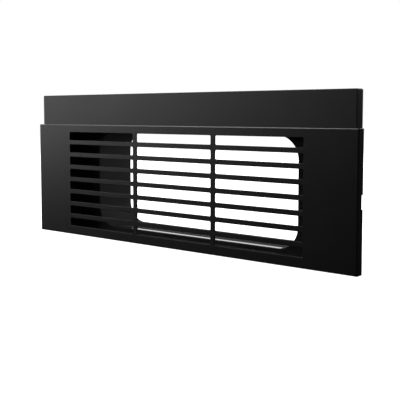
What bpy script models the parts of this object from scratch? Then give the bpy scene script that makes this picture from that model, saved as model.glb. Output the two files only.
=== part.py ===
# Air outlet grille with a flat-duct collar: a slotted front cover on a rear body.
# The front faces -Y, the duct leaves towards +Y and Z is up. All sizes are in metres.
import math

import bmesh
import bpy

# Collar for a flat duct of 222 by 89 mm
duct_width = 0.222
duct_height = 0.089
duct_corner_radius = 0.019
collar_wall = 0.0018
collar_length = 0.0424
mouth_edge_radius = 0.001
collar_end_chamfer = 0.0006

# Air box behind the slots, wider and a little higher than the duct
box_side_step = 0.0255
box_floor_step = 0.0027
box_ceiling_step = 0.0028
box_depth = 0.01785
box_wall = 0.002
box_corner_radius = 0.0015

# Flange of the rear body, a tray that is open at the back
flange_side_width = 0.0335
flange_below_box = 0.00345
flange_above_cover = 0.02765
flange_depth = 0.00855
flange_wall = 0.002
flange_rim_width = 0.0024
flange_corner_radius = 0.0012
flange_edge_radius = 0.0007
stiffener_width = 0.0016
stiffener_setback = 0.0003
top_stiffener_count = 6
side_stiffener_count = 2

# Front cover
cover_above_box = 0.004
cover_wall = 0.0015
cover_return_depth = 0.0075
cover_corner_radius = 0.0004
cover_edge_radius = 0.001
inner_corner_radius = 0.0006

# Slots of the cover, set in from the sides of the air box
slot_columns = 3
slot_rows = 8
slot_height = 0.0075
slot_corner_radius = 0.0011
mullion_width = 0.00415
slot_side_inset = 0.00785
slot_top_inset = 0.0031
slot_bottom_inset = 0.00291

# Notch in the rear edge of each side return
notch_height = 0.0105
notch_depth = 0.002

# Gaps between the pieces
seat_gap = 0.0003
panel_gap = 0.00125
side_gap = 0.0016

# Ribs inside the cover that seat it on the rear body
seat_rib_width = 0.0014
seat_rib_end_margin = 0.012
seat_rib_spacing = 0.013
side_rib_height = 0.002
side_rib_spacing = 0.06

# Smoothness of the round parts
small_corner_steps = 3
large_corner_steps = 9
edge_round_steps = 3
overlap = 0.0005
smooth_angle = math.radians(32)

# Heights, counted from the bottom edge of the cover
flange_bottom = cover_wall + seat_gap
box_floor = flange_bottom + flange_below_box
duct_bottom = box_floor + box_floor_step
duct_top = duct_bottom + duct_height
box_ceiling = duct_top + box_ceiling_step
cover_height = box_ceiling + cover_above_box
flange_top = cover_height + flange_above_cover

# Widths
box_width = duct_width + 2 * box_side_step
flange_width = box_width + 2 * flange_side_width
cover_width = flange_width + 2 * (side_gap + cover_wall)

# Depths, counted from the front face of the cover
flange_front = cover_wall + panel_gap
plate_back = flange_front + flange_wall
cover_top_lip_depth = flange_front - seat_gap
flange_back = flange_front + flange_depth
box_back = flange_front + box_depth
collar_front = box_back + box_wall + seat_gap
collar_end = box_back + collar_length
box_front = plate_back + seat_gap

# The origin is at the middle of the depth, under the middle of the cover
front_y = -collar_end / 2


def clear_scene():
    for item in list(bpy.data.objects):
        bpy.data.objects.remove(item, do_unlink=True)


def plastic(name, colour, roughness):
    material = bpy.data.materials.new(name)
    material.use_nodes = True
    shader = material.node_tree.nodes["Principled BSDF"]
    shader.inputs["Base Color"].default_value = (*colour, 1)
    shader.inputs["Roughness"].default_value = roughness
    shader.inputs["Metallic"].default_value = 0
    return material


def rounded_outline(width, bottom, top, radius, steps):
    # Corner points in the X-Z plane, in order, centred on X = 0
    points = []
    right = width / 2 - radius
    centres = (
        (right, top - radius, 0),
        (-right, top - radius, 90),
        (-right, bottom + radius, 180),
        (right, bottom + radius, 270),
    )
    for x, z, start in centres:
        for step in range(steps + 1):
            angle = math.radians(start + 90 * step / steps)
            points.append((x + radius * math.cos(angle), z + radius * math.sin(angle)))
    return points


def add_loft(mesh, rings):
    # Each ring is an outline and the depth it lies at, from front to back
    loops = []
    for outline, depth in rings:
        loops.append([mesh.verts.new((x, front_y + depth, z)) for x, z in outline])
    mesh.faces.new(loops[0])
    mesh.faces.new(reversed(loops[-1]))
    for near, far in zip(loops, loops[1:]):
        for index in range(len(near)):
            after = (index + 1) % len(near)
            mesh.faces.new((near[index], far[index], far[after], near[after]))


def new_object(name, mesh):
    bmesh.ops.recalc_face_normals(mesh, faces=mesh.faces)
    data = bpy.data.meshes.new(name)
    mesh.to_mesh(data)
    mesh.free()
    item = bpy.data.objects.new(name, data)
    bpy.context.scene.collection.objects.link(item)
    return item


def loft(name, rings):
    mesh = bmesh.new()
    add_loft(mesh, rings)
    return new_object(name, mesh)


def prism(name, outline, start, end):
    return loft(name, [(outline, start), (outline, end)])


def blocks(name, boxes):
    # Each box is its low and high corner, with depths counted from the front face
    mesh = bmesh.new()
    for low, high in boxes:
        outline = [(high[0], high[2]), (low[0], high[2]), (low[0], low[2]), (high[0], low[2])]
        add_loft(mesh, [(outline, low[1]), (outline, high[1])])
    return new_object(name, mesh)


def combine(target, tool, operation):
    modifier = target.modifiers.new(tool.name, "BOOLEAN")
    modifier.operation = operation
    modifier.solver = "EXACT"
    modifier.object = tool
    graph = bpy.context.evaluated_depsgraph_get()
    shape = bpy.data.meshes.new_from_object(target.evaluated_get(graph))
    target.modifiers.clear()
    target.data = shape
    bpy.data.objects.remove(tool, do_unlink=True)


def finish(item, name, material):
    item.name = name
    item.data.name = name
    item.data.materials.clear()
    item.data.materials.append(material)
    for face in item.data.polygons:
        face.material_index = 0
        face.use_smooth = True
    item.data.set_sharp_from_angle(angle=smooth_angle)


def rounded_front(width, bottom, top, corner, edge):
    # Rings of a front edge that is rounded over, ending at the full outline
    rings = []
    for step in range(edge_round_steps + 1):
        angle = math.radians(90 * step / edge_round_steps)
        inset = edge * (1 - math.sin(angle))
        depth = edge * (1 - math.cos(angle))
        outline = rounded_outline(width - 2 * inset, bottom + inset, top - inset, corner, small_corner_steps)
        rings.append((outline, depth))
    return rings


def cover_shell():
    rings = rounded_front(cover_width, 0, cover_height, cover_corner_radius, cover_edge_radius)
    full = rings[-1][0]
    rings.append((full, cover_return_depth))
    shell = loft("cover_shell", rings)
    pocket = rounded_outline(
        cover_width - 2 * cover_wall,
        cover_wall,
        cover_height - cover_wall,
        inner_corner_radius,
        small_corner_steps,
    )
    behind = cover_return_depth + overlap
    combine(shell, prism("cover_pocket", pocket, cover_wall, behind), "DIFFERENCE")
    inner_x = cover_width / 2 - cover_wall
    top_opening = (
        (-inner_x, cover_top_lip_depth, cover_height - cover_wall - overlap),
        (inner_x, behind, cover_height + overlap),
    )
    combine(shell, blocks("cover_top_opening", [top_opening]), "DIFFERENCE")
    return shell


def slot_cutter():
    # The slots share the room that the mullions leave, and the bars share the room that the slots leave
    room_width = box_width - 2 * slot_side_inset
    slot_width = (room_width - (slot_columns - 1) * mullion_width) / slot_columns
    room_top = box_ceiling - slot_top_inset
    room_bottom = box_floor + slot_bottom_inset
    row_step = (room_top - room_bottom - slot_height) / (slot_rows - 1)
    mesh = bmesh.new()
    for column in range(slot_columns):
        middle = (column - (slot_columns - 1) / 2) * (slot_width + mullion_width)
        for row in range(slot_rows):
            top = room_top - row * row_step
            bottom = top - slot_height
            outline = rounded_outline(slot_width, bottom, top, slot_corner_radius, small_corner_steps)
            moved = [(x + middle, z) for x, z in outline]
            add_loft(mesh, [(moved, -overlap), (moved, cover_wall + overlap)])
    return new_object("slot_cutter", mesh)


def notch_cutter():
    middle = cover_height / 2
    boxes = []
    for side in (-1, 1):
        edges = sorted((side * (cover_width / 2 + overlap), side * (cover_width / 2 - cover_wall - overlap)))
        low = (edges[0], cover_return_depth - notch_depth, middle - notch_height / 2)
        high = (edges[1], cover_return_depth + overlap, middle + notch_height / 2)
        boxes.append((low, high))
    return blocks("notch_cutter", boxes)


def cover_ribs():
    # Long ribs stop just short of the flange plate, short side ribs just short of its rim
    boxes = []
    middle = cover_height / 2
    rib_front = cover_wall - overlap
    rib_back = flange_front - seat_gap
    strip_middle = (box_width + flange_side_width) / 2
    for side in (-1, 1):
        for step in (-1, 1):
            x = side * (strip_middle + step * seat_rib_spacing / 2)
            low = (x - seat_rib_width / 2, rib_front, seat_rib_end_margin)
            high = (x + seat_rib_width / 2, rib_back, cover_height - seat_rib_end_margin)
            boxes.append((low, high))
        wall_side = side * (cover_width / 2 - cover_wall + overlap)
        body_side = side * (flange_width / 2 + seat_gap)
        edges = sorted((wall_side, body_side))
        for step in (-1, 1):
            z = middle + step * side_rib_spacing / 2
            low = (edges[0], rib_front, z - side_rib_height / 2)
            high = (edges[1], cover_return_depth - seat_gap, z + side_rib_height / 2)
            boxes.append((low, high))
    return blocks("cover_ribs", boxes)


def front_grille(material):
    cover = cover_shell()
    combine(cover, slot_cutter(), "DIFFERENCE")
    combine(cover, notch_cutter(), "DIFFERENCE")
    combine(cover, cover_ribs(), "UNION")
    finish(cover, "front_grille", material)
    return cover


def flange_tray():
    rings = rounded_front(flange_width, flange_bottom, flange_top, flange_corner_radius, flange_edge_radius)
    placed = [(outline, depth + flange_front) for outline, depth in rings]
    placed.append((placed[-1][0], flange_back))
    tray = loft("flange_tray", placed)
    hollow = rounded_outline(
        flange_width - 2 * flange_rim_width,
        flange_bottom + flange_rim_width,
        flange_top - flange_rim_width,
        inner_corner_radius,
        small_corner_steps,
    )
    combine(tray, prism("flange_hollow", hollow, plate_back, flange_back + overlap), "DIFFERENCE")
    return tray


def flange_stiffeners():
    # They stand between the air box and the rim, and divide the room above and beside it evenly
    front = plate_back - overlap
    back = flange_back - stiffener_setback
    box_side = box_width / 2 + box_wall + seat_gap
    rim_side = flange_width / 2 - flange_rim_width + overlap
    top_bay = (flange_width - 2 * flange_rim_width) / (top_stiffener_count + 1)
    side_bay = (box_ceiling - box_floor) / (side_stiffener_count + 1)
    boxes = []
    for index in range(top_stiffener_count):
        x = (index - (top_stiffener_count - 1) / 2) * top_bay
        low = (x - stiffener_width / 2, front, box_ceiling + box_wall + seat_gap)
        high = (x + stiffener_width / 2, back, flange_top - flange_rim_width + overlap)
        boxes.append((low, high))
    for side in (-1, 1):
        edges = sorted((side * box_side, side * rim_side))
        for index in range(side_stiffener_count):
            z = box_floor + (index + 1) * side_bay
            low = (edges[0], front, z - stiffener_width / 2)
            high = (edges[1], back, z + stiffener_width / 2)
            boxes.append((low, high))
    return blocks("flange_stiffeners", boxes)


def box_outline(growth):
    return rounded_outline(
        box_width + 2 * growth,
        box_floor - growth,
        box_ceiling + growth,
        box_corner_radius + growth,
        small_corner_steps,
    )


def duct_outline(growth):
    return rounded_outline(
        duct_width + 2 * growth,
        duct_bottom - growth,
        duct_top + growth,
        duct_corner_radius + growth,
        large_corner_steps,
    )


def flange_plate(material):
    plate = flange_tray()
    combine(plate, flange_stiffeners(), "UNION")
    opening = prism("plate_opening", box_outline(0), flange_front - overlap, box_front)
    combine(plate, opening, "DIFFERENCE")
    # The rim is thinner where the air box stands on it
    box_seat = prism("box_seat", box_outline(box_wall + seat_gap), plate_back, flange_back + overlap)
    combine(plate, box_seat, "DIFFERENCE")
    finish(plate, "flange_plate", material)
    return plate


def rounded_mouth():
    # Cuts the mouth of the collar, rounded over where it meets the back of the air box
    rings = [(duct_outline(mouth_edge_radius), box_back - overlap)]
    for step in range(edge_round_steps + 1):
        angle = math.radians(90 * step / edge_round_steps)
        growth = mouth_edge_radius * (1 - math.sin(angle))
        depth = mouth_edge_radius * (1 - math.cos(angle))
        rings.append((duct_outline(growth), box_back + depth))
    rings.append((duct_outline(0), collar_front + overlap))
    return loft("rounded_mouth", rings)


def air_box(material):
    box = prism("air_box_outside", box_outline(box_wall), box_front, box_back + box_wall)
    combine(box, prism("air_box_inside", box_outline(0), box_front - overlap, box_back), "DIFFERENCE")
    combine(box, rounded_mouth(), "DIFFERENCE")
    finish(box, "air_box", material)
    return box


def duct_collar(material):
    full = duct_outline(collar_wall)
    narrowed = duct_outline(collar_wall - collar_end_chamfer)
    rings = [(full, collar_front), (full, collar_end - collar_end_chamfer), (narrowed, collar_end)]
    collar = loft("collar_outside", rings)
    inside = prism("collar_inside", duct_outline(0), collar_front - overlap, collar_end + overlap)
    combine(collar, inside, "DIFFERENCE")
    finish(collar, "duct_collar", material)
    return collar


clear_scene()
cover_plastic = plastic("cover_black", (0.012, 0.012, 0.013), 0.36)
body_plastic = plastic("body_black", (0.011, 0.011, 0.012), 0.42)
front_grille(cover_plastic)
flange_plate(body_plastic)
air_box(body_plastic)
duct_collar(body_plastic)
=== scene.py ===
import math

import bmesh
import bpy
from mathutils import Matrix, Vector


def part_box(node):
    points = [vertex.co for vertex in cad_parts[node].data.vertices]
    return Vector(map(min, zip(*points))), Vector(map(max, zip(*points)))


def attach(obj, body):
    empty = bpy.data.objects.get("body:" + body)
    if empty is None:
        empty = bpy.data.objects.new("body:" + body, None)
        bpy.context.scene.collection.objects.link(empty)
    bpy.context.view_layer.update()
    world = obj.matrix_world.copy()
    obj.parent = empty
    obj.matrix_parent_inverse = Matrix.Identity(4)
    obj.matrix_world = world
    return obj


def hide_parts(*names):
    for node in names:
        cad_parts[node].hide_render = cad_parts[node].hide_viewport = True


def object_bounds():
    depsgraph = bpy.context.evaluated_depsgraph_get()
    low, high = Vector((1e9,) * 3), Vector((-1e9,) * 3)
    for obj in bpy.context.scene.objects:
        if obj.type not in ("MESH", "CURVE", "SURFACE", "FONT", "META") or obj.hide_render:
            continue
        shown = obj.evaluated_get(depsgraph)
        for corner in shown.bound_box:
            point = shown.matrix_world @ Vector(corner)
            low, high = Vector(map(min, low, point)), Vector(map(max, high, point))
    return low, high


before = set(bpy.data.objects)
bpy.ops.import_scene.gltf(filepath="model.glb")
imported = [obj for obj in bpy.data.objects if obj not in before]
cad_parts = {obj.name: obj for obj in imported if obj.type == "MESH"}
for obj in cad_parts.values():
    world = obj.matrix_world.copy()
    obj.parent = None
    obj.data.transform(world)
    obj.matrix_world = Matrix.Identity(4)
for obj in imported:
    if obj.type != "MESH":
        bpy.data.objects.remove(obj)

cadLow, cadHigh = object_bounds()

# The outer sizes come from the frame, and every other size is in metres
coverLow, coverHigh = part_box("front_grille")
plateLow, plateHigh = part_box("flange_plate")
collarLow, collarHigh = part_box("duct_collar")

cornerSteps = 8  # in each small corner of an outline
largeCornerSteps = 24  # in each corner of the duct
roundSteps = 6  # across a rounded edge
overlap = 0.0004  # how far a cutter or a joined block reaches past the face that it meets
sharpAngle = math.radians(35)
mergeDistance = 0.000001
flatShare = 0.99  # a face whose normal is at least this much upright counts as level


def linearColour(hexText):
    # An sRGB hex colour as linear red, green, blue and alpha
    channels = [int(hexText[place : place + 2], 16) / 255 for place in (1, 3, 5)]
    return (*[c / 12.92 if c <= 0.04045 else ((c + 0.055) / 1.055) ** 2.4 for c in channels], 1)


def addNode(tree, kind, settings=None, links=None, **values):
    # Adds a node with its settings, the values of its inputs, and links from other sockets
    node = tree.nodes.new(kind)
    for name, value in (settings or {}).items():
        setattr(node, name, value)
    for name, value in values.items():
        node.inputs[name].default_value = value
    for name, socket in (links or {}).items():
        tree.links.new(socket, node.inputs[name])
    return node


def roundedOutline(width, bottom, top, radius, steps):
    # Corner points in the X-Z plane, centred on X = 0
    right = width / 2 - radius
    centres = (
        (right, top - radius, 0),
        (-right, top - radius, 90),
        (-right, bottom + radius, 180),
        (right, bottom + radius, 270),
    )
    points = []
    for x, z, start in centres:
        for step in range(steps + 1):
            angle = math.radians(start + 90 * step / steps)
            points.append((x + radius * math.cos(angle), z + radius * math.sin(angle)))
    return points


def quarterRound(radius):
    # How far a rounded edge stands in, and how far along it is, from the face to the full outline
    pairs = []
    for step in range(roundSteps + 1):
        angle = math.radians(90 * step / roundSteps)
        pairs.append((radius * (1 - math.sin(angle)), radius * (1 - math.cos(angle))))
    return pairs


def newPiece(name, mesh):
    bmesh.ops.recalc_face_normals(mesh, faces=mesh.faces)
    data = bpy.data.meshes.new(name)
    mesh.to_mesh(data)
    mesh.free()
    piece = bpy.data.objects.new(name, data)
    bpy.context.scene.collection.objects.link(piece)
    return piece


def loft(name, rings):
    # Each ring is an outline and its depth behind the front face
    mesh = bmesh.new()
    loops = [[mesh.verts.new((x, frontY + depth, z)) for x, z in outline] for outline, depth in rings]
    mesh.faces.new(loops[0])
    mesh.faces.new(reversed(loops[-1]))
    for near, far in zip(loops, loops[1:]):
        for index in range(len(near)):
            after = (index + 1) % len(near)
            mesh.faces.new((near[index], far[index], far[after], near[after]))
    return newPiece(name, mesh)


def block(name, low, high):
    # A plain cutter from its low to its high corner, with depths behind the front face
    outline = [(high[0], high[2]), (low[0], high[2]), (low[0], low[2]), (high[0], low[2])]
    return loft(name, [(outline, low[1]), (outline, high[1])])


def bake(piece):
    # Turns the modifiers' result into the piece's own mesh
    graph = bpy.context.evaluated_depsgraph_get()
    shape = bpy.data.meshes.new_from_object(
        piece.evaluated_get(graph), preserve_all_data_layers=True, depsgraph=graph
    )
    piece.modifiers.clear()
    piece.data = shape


def combine(piece, tool, operation):
    modifier = piece.modifiers.new(tool.name, "BOOLEAN")
    modifier.operation = operation
    modifier.solver = "EXACT"
    modifier.object = tool
    bake(piece)
    bpy.data.objects.remove(tool, do_unlink=True)


def newTree(name, inputs):
    tree = bpy.data.node_groups.new(name, "GeometryNodeTree")
    tree.is_modifier = True
    tree.interface.new_socket("Geometry", in_out="INPUT", socket_type="NodeSocketGeometry")
    for label, kind in inputs:
        tree.interface.new_socket(label, in_out="INPUT", socket_type="NodeSocket" + kind)
    tree.interface.new_socket("Geometry", in_out="OUTPUT", socket_type="NodeSocketGeometry")
    return tree, tree.nodes.new("NodeGroupInput").outputs


def endTree(tree, mesh, material):
    real = addNode(tree, "GeometryNodeRealizeInstances", links={"Geometry": mesh})
    painted = addNode(
        tree, "GeometryNodeSetMaterial", links={"Geometry": real.outputs["Geometry"], "Material": material}
    )
    addNode(tree, "NodeGroupOutput", links={"Geometry": painted.outputs["Geometry"]})


def applyTree(piece, tree, values):
    modifier = piece.modifiers.new(tree.name, "NODES")
    modifier.node_group = tree
    for item in tree.interface.items_tree:
        if item.in_out == "INPUT" and item.name in values:
            modifier[item.identifier] = values[item.name]
    bake(piece)


def makeSlotTree():
    # Cuts a grid of slots: the cutter stands where the first slot is, at the lower left
    tree, given = newTree(
        "slotGrid",
        [
            ("Cutter", "Object"),
            ("Columns", "Int"),
            ("Rows", "Int"),
            ("Column Step", "Float"),
            ("Row Step", "Float"),
            ("Material", "Material"),
        ],
    )
    across = addNode(tree, "ShaderNodeCombineXYZ", links={"X": given["Column Step"]})
    upward = addNode(tree, "ShaderNodeCombineXYZ", links={"Z": given["Row Step"]})
    cutter = addNode(tree, "GeometryNodeObjectInfo", links={"Object": given["Cutter"]})
    cutter.inputs["As Instance"].default_value = True
    column = addNode(
        tree, "GeometryNodeMeshLine", links={"Count": given["Rows"], "Offset": upward.outputs["Vector"]}
    )
    stack = addNode(
        tree,
        "GeometryNodeInstanceOnPoints",
        links={"Points": column.outputs["Mesh"], "Instance": cutter.outputs["Geometry"]},
    )
    row = addNode(
        tree, "GeometryNodeMeshLine", links={"Count": given["Columns"], "Offset": across.outputs["Vector"]}
    )
    grid = addNode(
        tree,
        "GeometryNodeInstanceOnPoints",
        links={"Points": row.outputs["Mesh"], "Instance": stack.outputs["Instances"]},
    )
    cutters = addNode(tree, "GeometryNodeRealizeInstances", links={"Geometry": grid.outputs["Instances"]})
    cut = addNode(
        tree,
        "GeometryNodeMeshBoolean",
        {"operation": "DIFFERENCE", "solver": "EXACT"},
        {"Mesh 1": given["Geometry"], "Mesh 2": cutters.outputs["Geometry"]},
    )
    endTree(tree, cut.outputs["Mesh"], given["Material"])
    return tree


def makeRibTree():
    # Joins a row of equal ribs to a piece: First is the middle of the first rib
    tree, given = newTree(
        "ribRow",
        [
            ("Count", "Int"),
            ("First", "Vector"),
            ("Step", "Vector"),
            ("Size", "Vector"),
            ("Material", "Material"),
        ],
    )
    rib = addNode(tree, "GeometryNodeMeshCube", links={"Size": given["Size"]})
    row = addNode(
        tree,
        "GeometryNodeMeshLine",
        links={"Count": given["Count"], "Start Location": given["First"], "Offset": given["Step"]},
    )
    ribs = addNode(
        tree,
        "GeometryNodeInstanceOnPoints",
        links={"Points": row.outputs["Mesh"], "Instance": rib.outputs["Mesh"]},
    )
    loose = addNode(tree, "GeometryNodeRealizeInstances", links={"Geometry": ribs.outputs["Instances"]})
    joined = addNode(tree, "GeometryNodeMeshBoolean", {"operation": "UNION", "solver": "EXACT"})
    tree.links.new(given["Geometry"], joined.inputs["Mesh 2"])
    tree.links.new(loose.outputs["Geometry"], joined.inputs["Mesh 2"])
    endTree(tree, joined.outputs["Mesh"], given["Material"])
    return tree


def addRibs(piece, material, count, low, high, step):
    # A row of ribs: the first one's corners, with depths behind the front face, and the step to the next
    low = Vector((low[0], frontY + low[1], low[2]))
    high = Vector((high[0], frontY + high[1], high[2]))
    values = {
        "Count": count,
        "First": (low + high) / 2,
        "Step": Vector(step),
        "Size": high - low,
        "Material": material,
    }
    applyTree(piece, ribTree, values)


def shade(piece):
    # Smooth faces with sharp edges kept, and flat faces kept flat beside the fine rounds
    mesh = bmesh.new()
    mesh.from_mesh(piece.data)
    bmesh.ops.remove_doubles(mesh, verts=mesh.verts, dist=mergeDistance)
    mesh.to_mesh(piece.data)
    mesh.free()
    for face in piece.data.polygons:
        face.use_smooth = True
    piece.data.set_sharp_from_angle(angle=sharpAngle)
    weighted = piece.modifiers.new("flatFaces", "WEIGHTED_NORMAL")
    weighted.mode = "FACE_AREA"
    weighted.keep_sharp = True
    bake(piece)


coverPlastic = {
    "darkColour": "#0b0b0c",
    "lightColour": "#0f0f10",
    "roughness": 0.36,
    "roughnessSpread": 0.03,
    "ior": 1.54,
    "marks": {"slotWalls": 0.9},
    "flowLength": 0.045,
    "grainLength": 0.0004,
    "grainDepth": 0.000004,
}

bodyPlastic = {
    "darkColour": "#1a1a1b",
    "lightColour": "#1d1d1e",
    "roughness": 0.4,
    "roughnessSpread": 0.04,
    "marks": {"mouthLand": 0.14, "coarse": 0.8},
    "ior": 1.54,
    "flowLength": 0.06,
    "grainLength": 0.0005,
    "grainDepth": 0.000006,
}

# How fine the two noises are: the flow of the melt, and the grain of the mould
noise = {
    "flowDetail": 3.0,
    "flowRoughness": 0.5,
    "grainDetail": 2.0,
    "grainRoughness": 0.6,
}


def makePlastic(name, look):
    # ABS, injection moulded in a finely eroded mould: satin black, with a soft sheen and no pattern.
    # A Mix node has its colours at sockets 6 and 7, and its numbers at 2 and 3.
    material = bpy.data.materials.new(name)
    material.use_nodes = True
    tree = material.node_tree
    shader = tree.nodes["Principled BSDF"]
    shader.inputs["IOR"].default_value = look["ior"]
    place = addNode(tree, "ShaderNodeTexCoord")
    # Slow changes of tone and sheen where the melt flowed
    flow = addNode(
        tree,
        "ShaderNodeTexNoise",
        links={"Vector": place.outputs["Object"]},
        Scale=1 / look["flowLength"],
        Detail=noise["flowDetail"],
        Roughness=noise["flowRoughness"],
    )
    tone = addNode(
        tree,
        "ShaderNodeMix",
        {"data_type": "RGBA"},
        {"Factor": flow.outputs["Fac"]},
    )
    tone.inputs[6].default_value = linearColour(look["darkColour"])
    tone.inputs[7].default_value = linearColour(look["lightColour"])
    tree.links.new(tone.outputs[2], shader.inputs["Base Color"])
    sheen = addNode(tree, "ShaderNodeMapRange", links={"Value": flow.outputs["Fac"]})
    sheen.inputs["To Min"].default_value = look["roughness"] - look["roughnessSpread"]
    sheen.inputs["To Max"].default_value = look["roughness"] + look["roughnessSpread"]
    roughness = sheen.outputs["Result"]
    # Marked faces have a finish of their own: polished on the land, and coarser where the mould is
    for mark, value in look["marks"].items():
        marked = addNode(tree, "ShaderNodeAttribute", {"attribute_name": mark})
        change = addNode(tree, "ShaderNodeMix", links={"Factor": marked.outputs["Fac"]})
        tree.links.new(roughness, change.inputs[2])
        change.inputs[3].default_value = value
        roughness = change.outputs[0]
    tree.links.new(roughness, shader.inputs["Roughness"])
    # The mould's grain is about 0.05 mm, and is drawn coarser so that it shows close up
    grain = addNode(
        tree,
        "ShaderNodeTexNoise",
        links={"Vector": place.outputs["Object"]},
        Scale=1 / look["grainLength"],
        Detail=noise["grainDetail"],
        Roughness=noise["grainRoughness"],
    )
    bump = addNode(
        tree,
        "ShaderNodeBump",
        links={"Height": grain.outputs["Fac"]},
        Strength=1.0,
        Distance=look["grainDepth"],
    )
    tree.links.new(bump.outputs["Normal"], shader.inputs["Normal"])
    return material


cover = {
    "wall": 0.0015,
    "topLipDepth": 0.00245,
    "corner": 0.0004,
    "edgeRound": 0.001,
    "rearEdgeRound": 0.0003,
    "innerCorner": 0.0006,
    "notchHeight": 0.0105,
    "notchDepth": 0.002,
    "seatRibCount": 2,
    "seatRibWidth": 0.0014,
    "seatRibEndMargin": 0.012,
    "seatRibSpacing": 0.013,
    "sideRibCount": 2,
    "sideRibHeight": 0.002,
    "sideRibSpacing": 0.06,
    "seatGap": 0.0003,
}

slots = {
    "columns": 3,
    "rows": 8,
    "height": 0.0075,
    "corner": 0.0011,
    "mullion": 0.00415,
    "sideInset": 0.00785,
    "topInset": 0.0031,
    "bottomInset": 0.00291,
    "frontLip": 0.0003,
    "rearLip": 0.00015,
    "wallTilt": 0.9,
}


def makeCover(material):
    width, height, depth, wall = coverWidth, coverHeight, coverDepth, cover["wall"]

    def outline(inset, corner=cover["corner"]):
        return roundedOutline(width - 2 * inset, inset, height - inset, corner, cornerSteps)

    rings = [(outline(inset), along) for inset, along in quarterRound(cover["edgeRound"])]
    rear = [(outline(inset), depth - along) for inset, along in quarterRound(cover["rearEdgeRound"])]
    shell = loft("slottedCover", rings + rear[::-1])
    pocket = outline(wall, cover["innerCorner"])
    combine(shell, loft("pocket", [(pocket, wall), (pocket, depth + overlap)]), "DIFFERENCE")
    inner = width / 2 - wall
    behind = depth + overlap
    low = (-inner, cover["topLipDepth"], height - wall - overlap)
    combine(shell, block("topOpening", low, (inner, behind, height + overlap)), "DIFFERENCE")
    for side in (-1, 1):
        edges = sorted((side * (inner - overlap), side * (width / 2 + overlap)))
        low = (edges[0], depth - cover["notchDepth"], (height - cover["notchHeight"]) / 2)
        high = (edges[1], behind, (height + cover["notchHeight"]) / 2)
        combine(shell, block("notch", low, high), "DIFFERENCE")
    cutSlots(shell, material)
    addSeatRibs(shell, material)
    shade(shell)
    markSlots(shell)
    return shell


def cutSlots(shell, material):
    # The slots share the room that the mullions leave, and the bars the room that the slots leave
    columns, rows, wall = slots["columns"], slots["rows"], cover["wall"]
    room = boxWidth - 2 * slots["sideInset"]
    width = (room - (columns - 1) * slots["mullion"]) / columns
    columnStep = width + slots["mullion"]
    bottom = boxFloor + slots["bottomInset"]
    rowStep = (boxCeiling - slots["topInset"] - bottom - slots["height"]) / (rows - 1)
    left = -(columns - 1) / 2 * columnStep

    def ring(growth, depth):
        outline = roundedOutline(
            width + 2 * growth,
            bottom - growth,
            bottom + slots["height"] + growth,
            slots["corner"] + growth,
            cornerSteps,
        )
        return [(x + left, z) for x, z in outline], depth

    rings = [ring(slots["frontLip"], -overlap)]
    rings += [ring(growth, along) for growth, along in quarterRound(slots["frontLip"])]
    rings += [ring(growth, wall - along) for growth, along in quarterRound(slots["rearLip"])[::-1]]
    rings.append(ring(slots["rearLip"], wall + overlap))
    cutter = loft("slotCutter", rings)
    values = {
        "Cutter": cutter,
        "Columns": columns,
        "Rows": rows,
        "Column Step": columnStep,
        "Row Step": rowStep,
        "Material": material,
    }
    applyTree(shell, slotTree, values)
    bpy.data.objects.remove(cutter, do_unlink=True)


def addSeatRibs(shell, material):
    # Ribs inside the cover that seat it on the flange plate and beside its rim
    wall, gap, margin = cover["wall"], cover["seatGap"], cover["seatRibEndMargin"]
    front = wall - overlap
    stripMiddle = (boxWidth + flangeWidth) / 4
    spacing, ribWidth = cover["seatRibSpacing"], cover["seatRibWidth"]
    sideSpacing = cover["sideRibSpacing"]
    for side in (-1, 1):
        first = side * stripMiddle - (cover["seatRibCount"] - 1) * spacing / 2
        low = (first - ribWidth / 2, front, margin)
        high = (first + ribWidth / 2, flangeFront - gap, coverHeight - margin)
        addRibs(shell, material, cover["seatRibCount"], low, high, (spacing, 0, 0))
        edges = sorted((side * (coverWidth / 2 - wall + overlap), side * (flangeWidth / 2 + gap)))
        first = (coverHeight - (cover["sideRibCount"] - 1) * sideSpacing) / 2
        low = (edges[0], front, first - cover["sideRibHeight"] / 2)
        high = (edges[1], coverDepth - gap, first + cover["sideRibHeight"] / 2)
        addRibs(shell, material, cover["sideRibCount"], low, high, (0, 0, sideSpacing))


flange = {
    "wall": 0.002,
    "rimWidth": 0.0024,
    "corner": 0.0012,
    "edgeRound": 0.0007,
    "rearEdgeRound": 0.0003,
    "innerCorner": 0.0006,
}

airBox = {
    "sideStep": 0.0255,
    "floorStep": 0.0027,
    "ceilingStep": 0.0028,
    "depth": 0.01785,
    "wall": 0.002,
    "corner": 0.0015,
    "rearEdgeRound": 0.0006,
}

collar = {
    "width": 0.222,
    "height": 0.089,
    "floor": 0.00795,
    "corner": 0.019,
    "wall": 0.0018,
    "mouthRound": 0.001,
    "landStart": 0.003,
    "landEnd": 0.0074,
    "rootFillet": 0.0012,
    "endRound": 0.0006,
}

stiffeners = {
    "topCount": 6,
    "sideCount": 2,
    "width": 0.0016,
    "setback": 0.0003,
}

# Places that follow from the sizes above
frontY = coverLow.y
coverWidth = coverHigh.x - coverLow.x
coverHeight = coverHigh.z
coverDepth = coverHigh.y - frontY
flangeWidth = plateHigh.x - plateLow.x
flangeFront = plateLow.y - frontY
flangeBack = plateHigh.y - frontY
boxWidth = collar["width"] + 2 * airBox["sideStep"]
boxFloor = collar["floor"] - airBox["floorStep"]
boxCeiling = collar["floor"] + collar["height"] + airBox["ceilingStep"]
boxBack = flangeFront + airBox["depth"]
collarEnd = collarHigh.y - frontY


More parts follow.
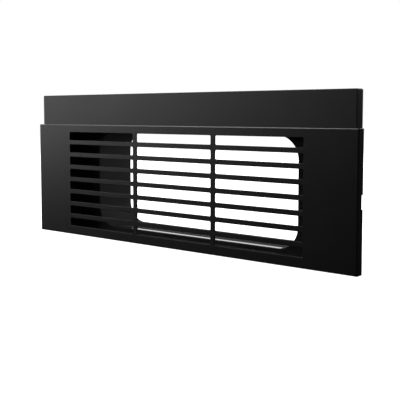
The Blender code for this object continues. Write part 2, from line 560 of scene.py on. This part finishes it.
def makeFlange():
    bottom, top = plateLow.z, plateHigh.z

    def outline(inset, corner=flange["corner"]):
        return roundedOutline(flangeWidth - 2 * inset, bottom + inset, top - inset, corner, cornerSteps)

    rings = [(outline(inset), flangeFront + along) for inset, along in quarterRound(flange["edgeRound"])]
    rear = [(outline(inset), flangeBack - along) for inset, along in quarterRound(flange["rearEdgeRound"])]
    rings += rear[::-1]
    tray = loft("moulding", rings)
    hollow = outline(flange["rimWidth"], flange["innerCorner"])
    start = flangeFront + flange["wall"]
    combine(tray, loft("hollow", [(hollow, start), (hollow, flangeBack + overlap)]), "DIFFERENCE")
    return tray


def boxOutline(growth):
    return roundedOutline(
        boxWidth + 2 * growth, boxFloor - growth, boxCeiling + growth, airBox["corner"] + growth, cornerSteps
    )


def ductOutline(growth):
    floor, height = collar["floor"], collar["height"]
    return roundedOutline(
        collar["width"] + 2 * growth,
        floor - growth,
        floor + height + growth,
        collar["corner"] + growth,
        largeCornerSteps,
    )


def makeBody(material):
    piece = makeFlange()
    wall = airBox["wall"]
    back = boxBack + wall
    rings = [(boxOutline(wall), flangeFront + flange["wall"] - overlap)]
    for inset, along in quarterRound(airBox["rearEdgeRound"])[::-1]:
        rings.append((boxOutline(wall - inset), back - along))
    combine(piece, loft("boxOutside", rings), "UNION")
    addStiffeners(piece, material)
    inside = boxOutline(0)
    combine(piece, loft("boxInside", [(inside, flangeFront - overlap), (inside, boxBack)]), "DIFFERENCE")
    fillet, end = collar["rootFillet"], collar["endRound"]
    rings = [(ductOutline(collar["wall"] + fillet), back - overlap)]
    rings += [(ductOutline(collar["wall"] + growth), back + along) for growth, along in quarterRound(fillet)]
    for inset, along in quarterRound(end)[::-1]:
        rings.append((ductOutline(collar["wall"] - inset), collarEnd - along))
    combine(piece, loft("collarOutside", rings), "UNION")
    mouth = collar["mouthRound"]
    rings = [(ductOutline(mouth), boxBack - overlap)]
    rings += [(ductOutline(growth), boxBack + along) for growth, along in quarterRound(mouth)]
    for depth in (boxBack + collar["landStart"], boxBack + collar["landEnd"], collarEnd + overlap):
        rings.append((ductOutline(0), depth))
    combine(piece, loft("collarInside", rings), "DIFFERENCE")
    shade(piece)
    markBody(piece)
    return piece


def addMark(piece, name, test):
    # A face attribute for the material: 1 on the faces that pass the test, 0 on the others
    mark = piece.data.attributes.new(name, "FLOAT", "FACE")
    for face, item in zip(piece.data.polygons, mark.data):
        item.value = 1.0 if test(face) else 0.0


def markBody(piece):
    # The land is a level strip across the duct's floor, just inside the mouth. The rest of the duct, the
    # inside of the box and the top rim come from a more coarsely eroded part of the mould.
    middle = collar["floor"] + collar["height"] / 2

    def onRim(face):
        depth = face.center.y - frontY
        return face.center.z > plateHigh.z - flange["edgeRound"] and flangeFront < depth < flangeBack

    def inBox(face):
        depth = face.center.y - frontY
        across = abs(face.center.x) < boxWidth / 2 + overlap
        between = boxFloor - overlap < face.center.z < boxCeiling + overlap
        return across and between and flangeFront + overlap < depth < boxBack + collar["mouthRound"]

    def inDuct(face):
        inward = -face.normal.x * face.center.x - face.normal.z * (face.center.z - middle)
        return inward > 0 and face.center.y - frontY > boxBack + collar["mouthRound"]

    def onLand(face):
        depth = face.center.y - frontY - boxBack
        return inDuct(face) and face.normal.z > flatShare and collar["landStart"] < depth < collar["landEnd"]

    def isCoarse(face):
        return onRim(face) or inBox(face) or inDuct(face) and not onLand(face)

    addMark(piece, "mouthLand", onLand)
    addMark(piece, "coarse", isCoarse)


def markSlots(shell):
    # The walls of the slots and their lips: the faces within the wall that don't look straight ahead or back
    def inSlot(face):
        depth = face.center.y - frontY
        across = abs(face.center.x) < boxWidth / 2 and boxFloor < face.center.z < boxCeiling
        return across and 0 < depth < cover["wall"] and abs(face.normal.y) < slots["wallTilt"]

    addMark(shell, "slotWalls", inSlot)


def addStiffeners(piece, material):
    # Ribs between the air box and the rim, which divide the room above and beside the box evenly
    front = flangeFront + flange["wall"] - overlap
    rear = flangeBack - stiffeners["setback"]
    half = stiffeners["width"] / 2
    rim = flange["rimWidth"]
    bay = (flangeWidth - 2 * rim) / (stiffeners["topCount"] + 1)
    first = -(stiffeners["topCount"] - 1) / 2 * bay
    low = (first - half, front, boxCeiling + airBox["wall"] - overlap)
    high = (first + half, rear, plateHigh.z - rim + overlap)
    addRibs(piece, material, stiffeners["topCount"], low, high, (bay, 0, 0))
    bay = (boxCeiling - boxFloor) / (stiffeners["sideCount"] + 1)
    first = boxFloor + bay
    boxSide = boxWidth / 2 + airBox["wall"] - overlap
    rimSide = flangeWidth / 2 - rim + overlap
    for side in (-1, 1):
        edges = sorted((side * boxSide, side * rimSide))
        low = (edges[0], front, first - half)
        high = (edges[1], rear, first + half)
        addRibs(piece, material, stiffeners["sideCount"], low, high, (0, 0, bay))


def finishPiece(piece, name, nodes, material):
    piece.name = name
    piece.data.name = name
    piece.data.materials.clear()
    piece.data.materials.append(material)
    for face in piece.data.polygons:
        face.material_index = 0
    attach(piece, "root")
    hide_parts(*nodes)
    print(name, len(piece.data.polygons), "faces")


# Worked out from the straight edges in the photograph
camera = {
    "place": (0.42259, -0.50329, 0.11358),
    "turn": 39.7034,
    "tilt": -4.4288,
    "roll": 0.0,
    "lens": 68.247,
    "shiftUp": -0.068,
    "sensorWidth": 36,
    "nearClip": 0.01,
}


def makeCamera():
    data = bpy.data.cameras.new("camera")
    data.sensor_width = camera["sensorWidth"]
    data.lens = camera["lens"]
    data.shift_y = camera["shiftUp"]
    data.clip_start = camera["nearClip"]
    item = bpy.data.objects.new("camera", data)
    item.location = camera["place"]
    item.rotation_euler = (
        math.radians(90 + camera["tilt"]),
        math.radians(camera["roll"]),
        math.radians(camera["turn"]),
    )
    bpy.context.scene.collection.objects.link(item)
    bpy.context.scene.camera = item


# Directions are degrees round from the front, to the right, and up. Radiance 1 is white.
lamps = {
    "keyLeft": {"around": -46, "up": 12, "distance": 1.6, "width": 0.4, "height": 0.4, "radiance": 4.0},
    "keyLow": {"around": -60, "up": 3, "distance": 1.6, "width": 0.5, "height": 0.4, "radiance": 2.3},
    "keyUpper": {"around": -30, "up": 22, "distance": 1.6, "width": 0.4, "height": 0.4, "radiance": 1.4},
    "topLeft": {"around": -60, "up": 60, "distance": 1.6, "width": 0.8, "height": 0.6, "radiance": 4.6},
    "overEdge": {"around": -92, "up": 50, "distance": 1.6, "width": 1.4, "height": 0.8, "radiance": 6.5},
    "rearLow": {"around": -141, "up": 9, "distance": 1.6, "width": 0.9, "height": 0.3, "radiance": 1.7},
    "rearSoft": {"around": 175, "up": 20, "distance": 1.6, "width": 1.0, "height": 0.6, "radiance": 3.0},
    "fillRight": {"around": 85, "up": 40, "distance": 1.6, "width": 1.2, "height": 1.0, "radiance": 1.0},
    "behindDuct": {"around": 168, "up": 0, "distance": 0.45, "width": 0.16, "height": 0.11, "radiance": 7.0},
}


def makeLamp(name, lamp, target):
    # Each lamp is a soft box that looks at the middle of the part
    data = bpy.data.lights.new(name, "AREA")
    data.shape = "RECTANGLE"
    data.size = lamp["width"]
    data.size_y = lamp["height"]
    data.energy = lamp["radiance"] * math.pi * lamp["width"] * lamp["height"]
    item = bpy.data.objects.new(name, data)
    around, up = math.radians(lamp["around"]), math.radians(lamp["up"])
    towards = Vector((math.sin(around) * math.cos(up), -math.cos(around) * math.cos(up), math.sin(up)))
    item.location = target + towards * lamp["distance"]
    item.rotation_euler = towards.to_track_quat("Z", "Y").to_euler()
    item.visible_camera = False
    bpy.context.scene.collection.objects.link(item)


# The floor's glow rises with the distance from the part, so that its shadow shows only close by
studio = {
    "worldColour": "#ffffff",
    "worldFill": 0.02,
    "glossyShare": 0.01,
    "floorSize": 12.0,
    "floorDrop": 0.0002,
    "floorColour": "#e6e6e6",
    "glowNear": 0.93,
    "glowFar": 1.0,
    "nearDistance": 0.3,
    "farDistance": 1.2,
    "floorBounce": "#1c1c1c",
}


def whiteShare(tree):
    # The camera and anything clear see the white background. The gloss of the plastic sees only a little of
    # it, so that the plastic stays black.
    path = addNode(tree, "ShaderNodeLightPath")
    clear = addNode(
        tree,
        "ShaderNodeMath",
        {"operation": "MAXIMUM"},
        {0: path.outputs["Is Camera Ray"], 1: path.outputs["Is Transmission Ray"]},
    )
    glossy = addNode(tree, "ShaderNodeMath", {"operation": "MULTIPLY"}, {0: path.outputs["Is Glossy Ray"]})
    glossy.inputs[1].default_value = studio["glossyShare"]
    share = addNode(
        tree,
        "ShaderNodeMath",
        {"operation": "MAXIMUM"},
        {0: clear.outputs["Value"], 1: glossy.outputs["Value"]},
    )
    return share.outputs["Value"]


def makeWorld():
    world = bpy.data.worlds.new("studio")
    bpy.context.scene.world = world
    world.use_nodes = True
    tree = world.node_tree
    tree.nodes.clear()
    colour = linearColour(studio["worldColour"])
    dim = addNode(tree, "ShaderNodeBackground", Strength=studio["worldFill"], Color=colour)
    white = addNode(tree, "ShaderNodeBackground", Strength=1.0, Color=colour)
    mix = addNode(tree, "ShaderNodeMixShader", links={"Fac": whiteShare(tree)})
    tree.links.new(dim.outputs["Background"], mix.inputs[1])
    tree.links.new(white.outputs["Background"], mix.inputs[2])
    addNode(tree, "ShaderNodeOutputWorld", links={"Surface": mix.outputs["Shader"]})


def makeFloor():
    # White to the camera, with the part's shadow kept, and dark to the part, so that it adds no light
    half = studio["floorSize"] / 2
    mesh = bmesh.new()
    corners = [(-half, -half), (half, -half), (half, half), (-half, half)]
    mesh.faces.new([mesh.verts.new((x, y, cadLow.z - studio["floorDrop"])) for x, y in corners])
    floor = newPiece("floor", mesh)
    material = bpy.data.materials.new("paperFloor")
    material.use_nodes = True
    tree = material.node_tree
    tree.nodes.clear()
    paper = addNode(tree, "ShaderNodeBsdfDiffuse", Color=linearColour(studio["floorColour"]))
    place = addNode(tree, "ShaderNodeTexCoord")
    away = addNode(tree, "ShaderNodeVectorMath", {"operation": "LENGTH"}, {0: place.outputs["Object"]})
    strength = addNode(tree, "ShaderNodeMapRange", links={"Value": away.outputs["Value"]})
    for name, value in (
        ("From Min", studio["nearDistance"]),
        ("From Max", studio["farDistance"]),
        ("To Min", studio["glowNear"]),
        ("To Max", studio["glowFar"]),
    ):
        strength.inputs[name].default_value = value
    glow = addNode(tree, "ShaderNodeEmission", links={"Strength": strength.outputs["Result"]})
    bright = addNode(
        tree, "ShaderNodeAddShader", links={0: paper.outputs["BSDF"], 1: glow.outputs["Emission"]}
    )
    bounce = addNode(tree, "ShaderNodeBsdfDiffuse", Color=linearColour(studio["floorBounce"]))
    mix = addNode(tree, "ShaderNodeMixShader", links={"Fac": whiteShare(tree)})
    tree.links.new(bounce.outputs["BSDF"], mix.inputs[1])
    tree.links.new(bright.outputs["Shader"], mix.inputs[2])
    addNode(tree, "ShaderNodeOutputMaterial", links={"Surface": mix.outputs["Shader"]})
    floor.data.materials.append(material)


slotTree = makeSlotTree()
ribTree = makeRibTree()
satinCover = makePlastic("mouldedAbsCover", coverPlastic)
satinBody = makePlastic("mouldedAbsBody", bodyPlastic)
print("materials ready")

finishPiece(makeCover(satinCover), "slottedCover", ["front_grille"], satinCover)
bodyNodes = ["flange_plate", "air_box", "duct_collar"]
finishPiece(makeBody(satinBody), "flangeBoxCollar", bodyNodes, satinBody)

makeCamera()
makeWorld()
makeFloor()
aim = (cadLow + cadHigh) / 2
for lampName, lamp in lamps.items():
    makeLamp(lampName, lamp, aim)
bpy.context.scene.view_settings.view_transform = "Standard"
print("camera, lamps and floor ready")
